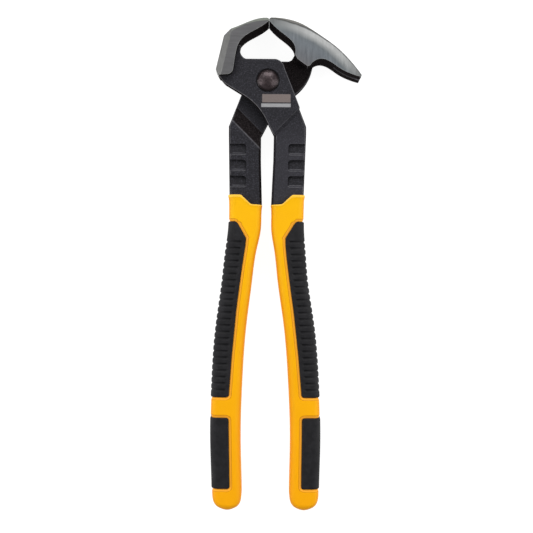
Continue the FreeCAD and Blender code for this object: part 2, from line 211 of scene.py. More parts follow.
def grip_size(y):
    """Middle, half width, half thickness and corner radius of the grip at each Y, end included."""
    middle = spline_at(GRIP_STATIONS[:, 0], GRIP_STATIONS[:, 1], y)
    half_width = spline_at(GRIP_STATIONS[:, 0], GRIP_STATIONS[:, 2], y) / 2
    half_thick = spline_at(GRIP_STATIONS[:, 0], GRIP_STATIONS[:, 3], y) / 2
    into_end = np.clip((GRIP_END_Y + GRIP_END_LENGTH - y) / GRIP_END_LENGTH, 0, 1)
    half_width = half_width * np.sqrt(1 - into_end ** GRIP_END_BLUNTNESS + 1e-4)
    from_end = np.clip(y - GRIP_END_Y, 0, GRIP_END_ROUNDING)
    rounding = GRIP_END_ROUNDING - np.sqrt(GRIP_END_ROUNDING ** 2 - (GRIP_END_ROUNDING - from_end) ** 2)
    half_thick = half_thick - rounding
    corner = np.minimum(GRIP_CORNER, 0.96 * np.minimum(half_width, half_thick))
    return middle, half_width, half_thick, corner


def skin(y, around, lift):
    """Points on the right-hand grip. around is the distance along the section from the middle of
    its outer side, up over the face that looks up being positive; lift is how far off the skin."""
    middle, half_width, half_thick, corner = grip_size(y)
    s = np.abs(around)
    side = half_thick - corner
    quarter = corner * math.pi / 2
    face = 2 * (half_width - corner)
    over_corner = side + quarter
    over_face = over_corner + face
    first_turn = np.clip((s - side) / corner, 0, math.pi / 2)
    second_turn = np.clip((s - over_face) / corner, 0, math.pi / 2)
    turn = first_turn + second_turn
    on_face = np.clip(s - over_corner, 0, face)
    down = np.clip(s - over_face - quarter, 0, None)
    x = middle + half_width - corner - on_face + corner * np.cos(turn)
    z = np.minimum(s, side) + corner * np.sin(turn) - down
    crown = GRIP_CROWN * np.sin(math.pi * np.clip(on_face / np.maximum(face, 0.1), 0, 1)) ** 2
    lift = lift + np.where(face > CROWNED_WIDTH, crown, 0)
    x = x + np.cos(turn) * lift
    z = z + np.sin(turn) * lift
    return np.stack([x, y + 0 * x, z * np.where(around < 0, -1, 1)], axis=-1)


def half_girth(y):
    """Distance along the section from the middle of the outer side to the middle of the inner."""
    _, half_width, half_thick, corner = grip_size(y)
    return 2 * (half_thick - corner) + math.pi * corner + 2 * (half_width - corner)


def around_at_x(y, x):
    """The distance along the section at which the grip's face reaches x."""
    middle, half_width, half_thick, corner = grip_size(y)
    from_corner = middle + half_width - corner
    turn = np.arccos(np.clip((x - from_corner) / corner, -1, 1))
    on_corner = half_thick - corner + corner * np.minimum(turn, math.pi / 2)
    return on_corner + np.maximum(from_corner - x, 0)


def insert_edge(y, edge_y, edge_x):
    """Distance along the section from the outer side to an insert's edge."""
    return around_at_x(y, np.interp(y, edge_y, edge_x))


def distance_outside(y, around, edge_y, edge_x):
    """Distance outside an insert's outline on the unrolled skin, negative within it."""
    nudge = 0.05
    edge = insert_edge(y, edge_y, edge_x)
    before = insert_edge(y - nudge, edge_y, edge_x)
    after = insert_edge(y + nudge, edge_y, edge_x)
    slope = (after - before) / (2 * nudge)
    sideways = (np.abs(around) - edge) / np.sqrt(1 + slope ** 2)
    lengthways = np.maximum(y - max(edge_y), min(edge_y) - y)
    radius = np.interp(y, TOP_CORNERS_Y, INSERT_CORNERS)
    a = sideways + radius
    b = lengthways + radius
    outside = np.hypot(np.maximum(a, 0), np.maximum(b, 0))
    return outside + np.minimum(np.maximum(a, b), 0) - radius


# --- The grips' pieces ---------------------------------------------------------------------------

def ring_faces(rows, columns, closed):
    """Quads between rows of points. With closed, the last column joins the first."""
    across = columns if closed else columns - 1
    faces = []
    for r in range(rows - 1):
        for c in range(across):
            here, there = r * columns + c, r * columns + (c + 1) % columns
            faces.append((here, there, there + columns, here + columns))
    return faces


def mirrored(points, faces):
    """The left-hand piece from the right-hand one."""
    return points * (-1, 1, 1), [tuple(reversed(face)) for face in faces]


def leaned(points):
    """The points of the hammer half's grip, shifted sideways with its handle. Five readings are
    averaged, so that the shift changes smoothly."""
    readings = [np.interp(points[:, 1] + apart, LEAN_Y, LEAN_X) for apart in (-6, -3, 0, 3, 6)]
    shift = sum(readings) / len(readings)
    return points + np.stack([shift, 0 * shift, 0 * shift], axis=1)


def sleeve_rows():
    """Y of the sleeve's rings, close together where its skin turns, and how far each is lifted."""
    below_rim = graded(
        (SLEEVE_TOP - 1.9, 0.6), (-72.8, 0.2), (-76.5, 0.32), (-86.0, 1.1), (-165.0, 0.2), (-168.8, 0.6),
        (-175.6, 0.2), (-179.4, 1.0), (-213.0, 0.2), (-216.6, 0.6), (-219.0, 0.5), (-225.0, 0.25),
        (-226.5, 0.1), (GRIP_END_Y + 0.02, 0.1),
    )
    ys = [SLEEVE_TOP - back for back, _ in SLEEVE_RIM] + list(below_rim)
    lifts = [lift for _, lift in SLEEVE_RIM] + [0.0] * len(below_rim)
    return np.array(ys), np.array(lifts)


def sleeve_columns():
    """Places round the sleeve as (share of the way from outer side to insert edge, offset in mm past
    that edge, share of the way from the edge to the inner side): fine along the inserts' edge."""
    hidden = [(share, 0.0, 0.0) for share in np.linspace(0, 1, 22, endpoint=False)]
    offsets = (-0.5, -0.28, -0.12, 0.0, 0.15, 0.4, 0.9, 1.3, 1.5, 1.65, 1.95)
    near = [(1.0, offset, 0.0) for offset in offsets]
    far = [(1.0, offsets[-1], share) for share in np.linspace(0, 1, 30)[1:]]
    return hidden[:-1] + near + far


def sleeve_around(ys):
    """Distances along the section at each Y, from the outer side's middle all the way round."""
    full_girth = 26.0       # where the grip narrows to less than this, the columns draw together
    along_ribbed = np.clip(ys, min(RIBBED_EDGE_Y), max(RIBBED_EDGE_Y))
    by_ribbed = insert_edge(along_ribbed, RIBBED_EDGE_Y, RIBBED_EDGE_X)
    by_palm = insert_edge(ys, PALM_EDGE_Y, PALM_EDGE_X)
    girth = half_girth(ys)
    on_edge = np.clip(np.where(ys > BETWEEN_INSERTS_Y, by_ribbed, by_palm), 0.2 * girth, 0.75 * girth)
    distances = []
    for to_edge, past, beyond in sleeve_columns():
        at = on_edge * to_edge + past * np.minimum(1.0, girth / full_girth)
        distances.append(at + (girth - at) * beyond)
    distances = np.array(distances).T
    distances[:, -1] = girth
    return np.concatenate([distances, -distances[:, -2:0:-1]], axis=1)


def sleeve_front(x):
    """Y of the sleeve's front edge at each X, its corners softened."""
    shifts = np.linspace(-SLEEVE_EDGE_SOFTNESS, SLEEVE_EDGE_SOFTNESS, 7)
    return sum(np.interp(x + shift, SLEEVE_EDGE_X, SLEEVE_EDGE_Y) / len(shifts) for shift in shifts)


def sleeve_lift(y, around):
    """The sleeve's skin: a sloping border round each insert and a hidden seat under it."""
    gap = np.minimum(
        distance_outside(y, around, RIBBED_EDGE_Y, RIBBED_EDGE_X),
        distance_outside(y, around, PALM_EDGE_Y, PALM_EDGE_X),
    )
    border = -BEVEL_DEPTH * (1 - np.clip(gap / BEVEL_WIDTH, 0, 1))
    return np.where(gap < 0, np.maximum(-BEVEL_DEPTH + gap * 5, -HIDDEN_DEPTH), border)


def sleeve_mesh():
    """The closed shell, and the value at each point from which its material paints light and shade:
    -1 on the front rim, and 0 on the skin, growing to 1 in the first quarter of the slope down to an
    insert."""
    ys, rim_lift = sleeve_rows()
    around = sleeve_around(ys)
    rows, count = around.shape
    y_grid = np.repeat(ys[:, None], count, axis=1)
    front = sleeve_front(skin(y_grid, around, 0 * around)[:, :, 0])
    fade = np.clip((ys - (SLEEVE_TOP - SLEEVE_EDGE_FADE)) / SLEEVE_EDGE_FADE, 0, 1)[:, None]
    y_real = y_grid + (front - SLEEVE_TOP) * fade
    border = sleeve_lift(y_real, around)
    flare = SLEEVE_FLARE * np.clip(1 - (SLEEVE_TOP - ys) / SLEEVE_FLARE_LENGTH, 0, 1)[:, None]
    outer_share = 1 - np.abs(around) / half_girth(ys)[:, None]
    points = skin(y_grid, around, border + rim_lift[:, None] + flare * outer_share)
    points[:, :, 1] = y_real
    on_rim = (ys > SLEEVE_TOP - SLEEVE_RIM_WIDTH)[:, None]
    sunk = np.where(on_rim, -1.0, np.clip(-border / BEVEL_DEPTH * 4, 0, 1))
    faces = ring_faces(rows, count, True)
    faces.append(tuple(reversed(range(count))))
    faces.append(tuple(range((rows - 1) * count, rows * count)))
    return points.reshape(-1, 3), faces, sunk.reshape(-1)


def insert_lift(gap):
    """An insert's skin: proud in the middle, rolled down at its edge into the sleeve's border."""
    inside = np.clip(-gap, 0, INSERT_EDGE_ROUNDING)
    to_flat = INSERT_EDGE_ROUNDING - inside
    drop = INSERT_EDGE_ROUNDING - np.sqrt(INSERT_EDGE_ROUNDING ** 2 - to_flat ** 2)
    lift = INSERT_PROUD - drop
    return np.where(gap > 0, np.maximum(lift - 4 * gap, -HIDDEN_DEPTH), lift)


def rib_cut(y, around):
    """Depth of the grooves between the ribs. Each rib rises sharply and falls away gently."""
    phase = (RIB_FIRST_Y - y) / RIB_PITCH
    along = phase - np.floor(phase)
    on = (phase >= -0.3) & (phase <= RIB_COUNT - 0.6)
    off_middle = np.minimum(along, 1 - along)
    groove = 1 - smoothstep(0.06, 0.24, off_middle)
    slump = 0.16 * smoothstep(0.35, 1.0, along) * (along < 0.95)
    _, _, half_thick, corner = grip_size(y)
    s = np.abs(around)
    side_end = half_thick - corner
    face_start = side_end + corner * math.pi / 2
    stop = insert_edge(y, RIBBED_EDGE_Y, RIBBED_EDGE_X) - RIB_MARGIN
    depth_side = RIB_SIDE_DEPTH * (1 - smoothstep(side_end + 0.4 * corner, face_start, s))
    reach = np.clip((s - side_end) / np.maximum(stop - side_end, 0.1), 0, 1)
    depth_face = RIB_FACE_DEPTH * smoothstep(0.25, 0.95, reach)
    ending = 1 - smoothstep(stop - 0.7, stop, s)
    depth = (np.maximum(depth_side, depth_face) + RIB_LEAST_DEPTH) * ending
    return np.where(on, (groove + slump) * depth, 0)


def insert_mesh(edge_y, edge_x, y_rows, ribbed):
    """The closed shell, an outer skin and an inner one that follows it inside the sleeve, and the
    value at each point that its material darkens as painted shade: how deep a rib's groove is there."""
    edge = insert_edge(y_rows, edge_y, edge_x) + INSERT_OVERLAP
    half = graded((0.0, 0.05), (0.62, 0.03), (0.9, 0.012), (1.0, 0.012))
    spread = np.concatenate([-half[:0:-1], half])
    around = edge[:, None] * spread[None, :]
    y_grid = np.repeat(y_rows[:, None], around.shape[1], axis=1)
    gap = distance_outside(y_grid, around, edge_y, edge_x)
    cut = rib_cut(y_grid, around) if ribbed else 0 * gap
    lift = insert_lift(gap) - cut
    outer = skin(y_grid, around, lift)
    inner = skin(y_grid, around, np.minimum(lift - 0.3, -INSERT_DEPTH))
    rows, count = around.shape
    size = rows * count
    faces = [tuple(reversed(face)) for face in ring_faces(rows, count, False)]
    faces += [tuple(size + k for k in reversed(face)) for face in faces]
    for r in range(rows - 1):
        a, b = r * count, (r + 1) * count
        faces.append((a, b, b + size, a + size))
        a, b = a + count - 1, b + count - 1
        faces.append((b, a, a + size, b + size))
    last = (rows - 1) * count
    for c in range(count - 1):
        faces.append((c + 1, c, c + size, c + 1 + size))
        faces.append((last + c, last + c + 1, last + c + 1 + size, last + c + size))
    points = np.concatenate([outer.reshape(-1, 3), inner.reshape(-1, 3)])
    return points, faces, np.tile(cut.reshape(-1), 2)


def ribbed_mesh():
    y_rows = graded((-73.95, 0.2), (-77.5, 0.3), (-83.8, 0.22), (-164.0, 0.2), (-167.15, 0.2))
    return insert_mesh(RIBBED_EDGE_Y, RIBBED_EDGE_X, y_rows, True)


def palm_mesh():
    y_rows = graded((-177.35, 0.2), (-180.5, 0.8), (-212.0, 0.2), (-215.25, 0.2))
    return insert_mesh(PALM_EDGE_Y, PALM_EDGE_X, y_rows, False)


def make_grips(yellow, black):
    """Both grips. The attribute "sunk" carries the values from which each piece's material paints its
    shade and highlights.
    """
    made = {
        "grip_sleeve": (sleeve_mesh(), yellow, "yellow_sleeve"),
        "ribbed_insert": (ribbed_mesh(), black, "black_insert"),
        "palm_insert": (palm_mesh(), black, "black_insert"),
    }
    for name, ((points, faces, sunk), material, slot) in made.items():
        for side, body in (("right", "hammer_lever"), ("left", "claw_lever")):
            node = side + "_" + name
            placed = (leaned(points), faces) if side == "right" else mirrored(points, faces)
            piece = make_object(node + "_skin", *placed, material, body, slot, node)
            piece.data.attributes.new("sunk", "FLOAT", "POINT").data.foreach_set("value", sunk)


# --- Materials -----------------------------------------------------------------------------------

class Shader:
    """A node material with a Principled surface, and short calls for the nodes that feed it."""

    def __init__(self, name):
        self.material = bpy.data.materials.new(name)
        self.material.use_nodes = True
        self.tree = self.material.node_tree
        self.surface = self.tree.nodes["Principled BSDF"]
        self.coordinates = self.tree.nodes.new("ShaderNodeTexCoord")
        self.place = self.coordinates.outputs["Object"]

    def set(self, **values):
        for name, value in values.items():
            self.surface.inputs[name.replace("_", " ")].default_value = value

    def link(self, source, target):
        self.tree.links.new(source, target)

    def feed(self, name, source):
        self.link(source, self.surface.inputs[name])

    def stretched(self, scale):
        node = self.tree.nodes.new("ShaderNodeMapping")
        node.inputs["Scale"].default_value = scale
        self.link(self.place, node.inputs["Vector"])
        return node.outputs["Vector"]

    def noise(self, scale, detail=3.0, roughness=0.55, at=None):
        node = self.tree.nodes.new("ShaderNodeTexNoise")
        node.inputs["Scale"].default_value = scale
        node.inputs["Detail"].default_value = detail
        node.inputs["Roughness"].default_value = roughness
        self.link(at or self.place, node.inputs["Vector"])
        return node.outputs["Fac"]

    def ramp(self, source, *stops):
        node = self.tree.nodes.new("ShaderNodeValToRGB")
        elements = node.color_ramp.elements
        while len(elements) < len(stops):
            elements.new(0.5)
        for element, (position, colour) in zip(elements, stops):
            element.position = position
            element.color = (*(colour if isinstance(colour, tuple) else (colour,) * 3), 1.0)
        self.link(source, node.inputs["Fac"])
        return node.outputs["Color"]

    def mix(self, share, first, second):
        node = self.tree.nodes.new("ShaderNodeMix")
        node.data_type = "RGBA"
        for value, name in ((share, "Factor"), (first, "A"), (second, "B")):
            socket = next(s for s in node.inputs if s.name == name and s.enabled)
            if isinstance(value, bpy.types.NodeSocket):
                self.link(value, socket)
            elif isinstance(value, tuple):
                socket.default_value = (*value, 1.0)
            else:
                socket.default_value = value
        return next(s for s in node.outputs if s.enabled)

    def calculate(self, operation, first, second=0.0):
        node = self.tree.nodes.new("ShaderNodeMath")
        node.operation = operation
        for value, socket in ((first, node.inputs[0]), (second, node.inputs[1])):
            if isinstance(value, bpy.types.NodeSocket):
                self.link(value, socket)
            else:
                socket.default_value = value
        return node.outputs["Value"]

    def add(self, first, second):
        return self.calculate("ADD", first, second)

    def minus(self, first, second):
        return self.calculate("SUBTRACT", first, second)

    def times(self, first, second):
        return self.calculate("MULTIPLY", first, second)

    def along(self, axis, low, high):
        """0 to 1 as the place runs from low to high along X, Y or Z, in metres of the frame."""
        split = self.tree.nodes.new("ShaderNodeSeparateXYZ")
        self.link(self.place, split.inputs["Vector"])
        node = self.tree.nodes.new("ShaderNodeMapRange")
        node.inputs["From Min"].default_value = low
        node.inputs["From Max"].default_value = high
        self.link(split.outputs[axis], node.inputs["Value"])
        return node.outputs["Result"]

    def bump(self, height, distance, strength=1.0, under=None):
        node = self.tree.nodes.new("ShaderNodeBump")
        node.inputs["Distance"].default_value = distance
        node.inputs["Strength"].default_value = strength
        self.link(height, node.inputs["Height"])
        if under is not None:
            self.link(under, node.inputs["Normal"])
        return node.outputs["Normal"]

    def attribute(self, name):
        node = self.tree.nodes.new("ShaderNodeAttribute")
        node.attribute_name = name
        return node.outputs["Fac"]

    def recesses(self, distance):
        """1 in the open, falling towards 0 in corners and recesses."""
        node = self.tree.nodes.new("ShaderNodeAmbientOcclusion")
        node.samples = 8
        node.inputs["Distance"].default_value = distance
        return node.outputs["AO"]

    def edge_wear_and_highlight(self, reach):
        """Near 0 on flats, growing towards 1 on outward edges: where handling rubs the finish off, and
        where the materials paint edge highlights.
        """
        node = self.tree.nodes.new("ShaderNodeAmbientOcclusion")
        node.samples = 8
        node.inside = True
        node.only_local = True
        node.inputs["Distance"].default_value = reach
        return self.minus(1.0, node.outputs["AO"])

    def upright(self):
        """1 where the surface faces straight up or down, 0 on its sides."""
        split = self.tree.nodes.new("ShaderNodeSeparateXYZ")
        self.link(self.coordinates.outputs["Normal"], split.inputs["Vector"])
        return self.calculate("POWER", split.outputs["Z"], 2.0)

    def distance_along(self, x, y, z):
        """Millimetres from the pivot in the direction given."""
        offset = self.tree.nodes.new("ShaderNodeVectorMath")
        offset.operation = "SUBTRACT"
        offset.inputs[1].default_value = PIVOT
        self.link(self.place, offset.inputs[0])
        node = self.tree.nodes.new("ShaderNodeVectorMath")
        node.operation = "DOT_PRODUCT"
        node.inputs[1].default_value = Vector((x, y, z)).normalized() / MM
        self.link(offset.outputs["Vector"], node.inputs[0])
        return node.outputs["Value"]

    def step_edges(self, side):
        """1 on the two edges of the ramp under a bar. side is 1 for the claw half, whose ramp faces
        up, and -1 for the hammer half, whose ramp faces down."""
        slope = self.distance_along(side, 1, 0)
        from_foot = self.calculate("ABSOLUTE", self.minus(slope, STEP_FOOT))
        from_top = self.calculate("ABSOLUTE", self.minus(slope, STEP_TOP))
        near_foot = self.ramp(from_foot, (0.1, 0.4), (0.4, 0.0))
        near_top = self.ramp(from_top, (0.15, 1.0), (0.5, 0.0))
        facing = self.ramp(self.add(self.distance_along(0, 0, side), 0.5), (0.0, 0.0), (0.5, 1.0))
        return self.times(self.add(near_foot, near_top), facing)

    def pocket_place(self):
        """How far up the bar it is from the last pocket's lower edge, as a share of the pitch."""
        above_edge = self.minus(self.distance_along(0, 1, 0), POCKET_SLOPE_Y)
        return self.calculate("FRACT", self.times(above_edge, 1 / POCKET_PITCH))

    def in_pockets(self, inner_x, outer_x):
        """1 over the columns of pockets in both bars, between two distances from the centre line."""
        low, high = POCKETS_Y
        fade = 0.3
        right = self.within((inner_x, low), (outer_x, high), fade)
        left_outer, left_inner = (-x - POCKETS_LEFT_SHIFT for x in (outer_x, inner_x))
        left = self.within((left_outer, low), (left_inner, high), fade)
        return self.add(right, left)

    def pocket_slope_lines(self):
        """1 along the top and the foot of the sloping lower wall of each pocket in the bars."""
        lines = self.ramp(
            self.pocket_place(),
            (0.0, 0.9), (0.035, 0.9), (0.05, 0.0), (0.1, 0.0), (0.115, 0.9), (0.15, 0.9), (0.165, 0.0),
        )
        return self.times(lines, self.in_pockets(11.6, 18.0))

    def unrubbed_and_unlit(self):
        """0 on the pockets' upper edges, which face away from the light, and between the bars and round
        the rivet's seat,
        which nothing rubs: these get no rubbed edge or painted highlight. 1 elsewhere."""
        upper = self.ramp(self.pocket_place(), (0.06, 0.0), (0.1, 0.85), (0.75, 0.85), (0.8, 0.0))
        pockets = self.times(upper, self.in_pockets(10.2, 19.5))
        between_bars = self.times(self.within(*BETWEEN_BARS, 1.5), 0.85)
        kept = self.minus(self.minus(1.0, pockets), between_bars)
        return self.times(kept, self.from_point(0.0, 0.0, *SEAT_EDGE))

    def within(self, low, high, fade):
        """1 inside a box in X and Y, given in millimetres from the pivot, 0 outside it."""
        split = self.tree.nodes.new("ShaderNodeSeparateXYZ")
        self.link(self.place, split.inputs["Vector"])
        inside = 1.0
        for axis in (0, 1):
            for edge, way in ((low[axis], 1), (high[axis], -1)):
                node = self.tree.nodes.new("ShaderNodeMapRange")
                place = PIVOT[axis] + edge * MM
                node.inputs["From Min"].default_value = place - way * fade * MM
                node.inputs["From Max"].default_value = place + way * fade * MM
                self.link(split.outputs["XY"[axis]], node.inputs["Value"])
                inside = self.times(inside, node.outputs["Result"])
        return inside

    def from_point(self, x, y, near, far):
        """0 to 1 as the distance in plan from a point grows from near to far, in millimetres."""
        offset = self.tree.nodes.new("ShaderNodeVectorMath")
        offset.operation = "SUBTRACT"
        offset.inputs[1].default_value = PIVOT + Vector((x, y, 0)) * MM
        self.link(self.place, offset.inputs[0])
        flat = self.tree.nodes.new("ShaderNodeVectorMath")
        flat.operation = "MULTIPLY"
        flat.inputs[1].default_value = (1, 1, 0)
        self.link(offset.outputs["Vector"], flat.inputs[0])
        length = self.tree.nodes.new("ShaderNodeVectorMath")
        length.operation = "LENGTH"
        self.link(flat.outputs["Vector"], length.inputs[0])
        node = self.tree.nodes.new("ShaderNodeMapRange")
        node.inputs["From Min"].default_value = near * MM
        node.inputs["From Max"].default_value = far * MM
        self.link(length.outputs["Value"], node.inputs["Value"])
        return node.outputs["Result"]

    def edges(self, radius):
        """1 on convex and concave edges, 0 on flats: how far a rounded normal leaves the real one."""
        bevel = self.tree.nodes.new("ShaderNodeBevel")
        bevel.samples = 6
        bevel.inputs["Radius"].default_value = radius
        geometry = self.tree.nodes.new("ShaderNodeNewGeometry")
        dot = self.tree.nodes.new("ShaderNodeVectorMath")
        dot.operation = "DOT_PRODUCT"
        self.link(bevel.outputs["Normal"], dot.inputs[0])
        self.link(geometry.outputs["Normal"], dot.inputs[1])
        return self.minus(1.0, dot.outputs["Value"])


def yellow_plastic():
    """Satin moulded plastic, a little deeper in colour towards the ends, with handling scuffs; painted
    shade on its sides and in the crease round each insert, and painted highlights on the inserts'
    borders and the front rim.
    """
    s = Shader("yellow_plastic")
    depth = s.along("Y", PIVOT.y - 0.230, PIVOT.y - 0.060)
    colour = s.mix(depth, (0.97, 0.41, 0.001), (0.92, 0.48, 0.001))
    mottle = s.noise(60.0, 4.0)
    colour = s.mix(s.ramp(mottle, (0.35, 0.0), (0.75, 0.22)), colour, (0.80, 0.33, 0.001))
    # Painted shade: darker orange where the skin turns away from facing up or down.
    side_shade = s.ramp(s.upright(), (0.2, 0.75), (0.7, 0.0))
    colour = s.mix(side_shade, colour, (0.80, 0.30, 0.006))
    sunk = s.attribute("sunk")
    # Painted highlight: the lower part of the slope down to each insert is tinted lighter and pinker.
    border = s.ramp(sunk, (0.6, 0.0), (1.0, 0.9))
    colour = s.mix(border, colour, (1.0, 0.41, 0.03))
    # Painted shade: a dark orange line along the top of the slope down to each insert.
    crease_shade = s.ramp(sunk, (0.0, 0.0), (0.25, 0.8), (0.55, 0.8), (0.85, 0.0))
    colour = s.mix(crease_shade, colour, (0.55, 0.17, 0.003))
    # Painted highlight: the sleeve's front rim is tinted lighter and paler.
    rim_highlight = s.times(sunk, -1.0)
    colour = s.mix(s.ramp(rim_highlight, (0.2, 0.0), (1.0, 0.9)), colour, (1.0, 0.58, 0.06))
    s.feed("Base Color", colour)
    scuffs = s.noise(900.0, 3.0, 0.6, s.stretched((1.0, 0.12, 1.0)))
    s.feed("Roughness", s.ramp(scuffs, (0.3, 0.46), (0.75, 0.60)))
    fine = s.bump(s.noise(5200.0, 2.0), 0.00003, 0.6)
    s.feed("Normal", s.bump(s.noise(140.0, 2.0), 0.00012, 0.35, fine))
    s.set(Specular_IOR_Level=0.12)
    return s.material


def black_rubber():
    """Matte soft-touch rubber: fine pebbled grain, dusty highs, polished by the hand here and there;
    lighter along its edges, partly wear and partly painted highlight, and painted shade in the rib
    grooves.
    """
    s = Shader("black_rubber")
    dust = s.ramp(s.noise(260.0, 5.0, 0.65), (0.42, 0.0), (0.72, 1.0))
    colour = s.mix(dust, (0.0085, 0.0083, 0.0098), (0.017, 0.0165, 0.019))
    # Lighter along edges, convex and concave alike: partly wear, partly a painted edge highlight.
    edge_wear_and_highlight = s.ramp(s.edges(0.0006), (0.02, 0.0), (0.35, 0.6))
    colour = s.mix(edge_wear_and_highlight, colour, (0.030, 0.030, 0.033))
    # Painted shade: the ribs' grooves are darkened by their depth.
    groove_shade = s.ramp(s.attribute("sunk"), (0.1, 0.0), (0.6, 0.7))
    colour = s.mix(groove_shade, colour, (0.003, 0.003, 0.004))
    s.feed("Base Color", colour)
    s.feed("Roughness", s.ramp(s.noise(75.0, 3.0), (0.3, 0.58), (0.7, 0.74)))
    grain = s.bump(s.noise(3600.0, 3.0, 0.7), 0.00006, 0.8)
    s.feed("Normal", s.bump(s.noise(600.0, 2.0), 0.00008, 0.4, grain))
    s.set(Specular_IOR_Level=0.22)
    return s.material


def forged_steel(name, low, high, rub_and_highlight_level, side=0):
    """Blackened forging: bluish-black scale with a fine shot-blasted grain, painted shade in its
    recesses, and edges made lighter, partly rubbed bare and partly painted highlight.
    side tells which way the ramp under the bar faces, for painted highlights on its edges and the
    pockets' slopes, and is 0 for a finish that isn't near it."""
    s = Shader(name)
    scale = s.noise(1300.0, 4.0, 0.65)
    colour = s.mix(s.ramp(scale, (0.35, 0.0), (0.7, 1.0)), low, high)
    cloud = s.ramp(s.noise(110.0, 3.0), (0.35, 0.0), (0.7, 0.35))
    colour = s.mix(cloud, colour, low)
    if side == HAMMER_SIDE:
        bar = s.along("Y", *(PIVOT.y + y * MM for y in BAR_Y))
        colour = s.mix(s.times(bar, 0.42), colour, (0.047, 0.0455, 0.056))
    # Painted shade: darkened in corners and recesses, by how enclosed the place is.
    recess_shade = s.ramp(s.recesses(0.0035), (0.35, 0.85), (0.85, 0.0))
    colour = s.mix(recess_shade, colour, (0.004, 0.004, 0.005))
    patches = s.ramp(s.noise(700.0, 4.0, 0.7), (0.35, 0.45), (0.65, 1.0))
    # Lighter edges: partly bare metal rubbed by wear, partly a painted edge highlight.
    worn_and_lit_edges = s.times(s.edge_wear_and_highlight(0.0005), s.unrubbed_and_unlit())
    rub_and_highlight = s.ramp(s.times(worn_and_lit_edges, patches), (0.05, 0.0), (0.22, rub_and_highlight_level))
    colour = s.mix(rub_and_highlight, colour, (0.17, 0.165, 0.175))
    if side:
        # Painted highlights: light lines along the ramp's edges and the pockets' lower slopes, broken
        # into patches.
        creases = s.add(s.step_edges(side), s.pocket_slope_lines())
        crease_highlights = s.times(creases, s.times(patches, 0.75))
        colour = s.mix(crease_highlights, colour, (0.15, 0.148, 0.16))
    specks = s.ramp(s.noise(1700.0, 2.0, 0.5), (0.50, 0.0), (0.74, 0.9))
    return s, s.mix(specks, colour, tuple(2.6 * value for value in high))


def finish_forged(s, colour, specular=0.3, metallic=0.3):
    s.feed("Base Color", colour)
    s.feed("Roughness", s.ramp(s.noise(700.0, 4.0), (0.3, 0.44), (0.7, 0.62)))
    s.set(Metallic=metallic, Specular_IOR_Level=specular)
    coarse = s.bump(s.noise(260.0, 3.0), 0.00018, 0.5)
    s.feed("Normal", s.bump(s.noise(2200.0, 4.0, 0.7), 0.00012, 0.8, coarse))
    return s.material


PLATE_LOW = (0.0105, 0.0102, 0.0135)      # the blasted faces' darker and lighter grain
PLATE_HIGH = (0.021, 0.0205, 0.026)


def blasted_face():
    return finish_forged(*forged_steel("forged_face", PLATE_LOW, PLATE_HIGH, 0.75, CLAW_SIDE))


def shaded_scale(name, side):
    """The walls, ramps and recesses keep the darkest scale from the forge, darkened further as painted
    shade and with no reflection.
    """
    s, colour = forged_steel(name, (0.0075, 0.0062, 0.0066), (0.016, 0.0135, 0.014), 0.6, side)
    return finish_forged(s, colour, 0.0, 0.0)


def shaded_pocket_floor():
    # Painted shade: the pockets' floors take a darker copy of the blasted finish.
    s, colour = forged_steel("forged_pocket_shaded", (0.0085, 0.0082, 0.0105), (0.017, 0.0165, 0.021), 0.5)
    return finish_forged(s, colour)


def labelled_face():
    """The front plate: a blasted face with two plain printed bars and nothing written in them."""
    s, colour = forged_steel("forged_plate", PLATE_LOW, PLATE_HIGH, 0.75, HAMMER_SIDE)
    print_wear = s.ramp(s.noise(1800.0, 3.0), (0.2, 0.85), (0.6, 1.0))
    for box, tone in zip(LABEL_BARS, ((0.20, 0.165, 0.155), (0.34, 0.34, 0.35))):
        colour = s.mix(s.times(s.within(*box, 0.12), print_wear), colour, tone)
    return finish_forged(s, colour)


def ground_steel(name, grind_scale, roughness):
    """Bright ground steel: fine parallel grinding lines and faint smears. The caller adds the tone."""
    s = Shader(name)
    lines = s.noise(1.0, 4.0, 0.7, s.stretched(grind_scale))
    smear = s.noise(55.0, 3.0)
    tone = s.ramp(s.add(lines, s.times(smear, 0.6)), (0.45, 0.0), (1.1, 1.0))
    s.feed("Roughness", s.ramp(lines, (0.3, roughness - 0.06), (0.7, roughness + 0.08)))
    s.feed("Normal", s.bump(lines, 0.00003, 0.4))
    return s, tone


def painted_rim_highlights(s, colour):
    """Painted highlights along the ground faces' edges: a pale, less metallic colour that looks lit from
    any side.
    """
    # Painted highlight along edges.
    rim_highlight = s.ramp(s.edges(0.00045), (0.03, 0.0), (0.25, 0.85))
    s.feed("Base Color", s.mix(rim_highlight, colour, (0.46, 0.47, 0.45)))
    s.feed("Metallic", s.minus(1.0, s.times(rim_highlight, 0.75)))
    return s.material


def poll_steel():
    """Ground cheek, with a painted highlight on the bevel along the hammer jaw's top."""
    s, tone = ground_steel("poll_steel", (90.0, 2600.0, 2600.0), 0.38)
    x, y, radius = POLL_ARC
    # Painted highlight: a light band within 1.4 mm of the jaw's top.
    top = s.ramp(s.from_point(x, y, radius - 1.4, radius), (0.0, 0.0), (0.2, 0.9))
    colour = s.mix(tone, (0.17, 0.168, 0.176), (0.235, 0.233, 0.24))
    return painted_rim_highlights(s, s.mix(top, colour, (0.37, 0.40, 0.35)))


def bevel_steel():
    s, tone = ground_steel("bevel_steel", (1600.0, 200.0, 1600.0), 0.42)
    return painted_rim_highlights(s, s.mix(tone, (0.20, 0.20, 0.198), (0.25, 0.25, 0.245)))


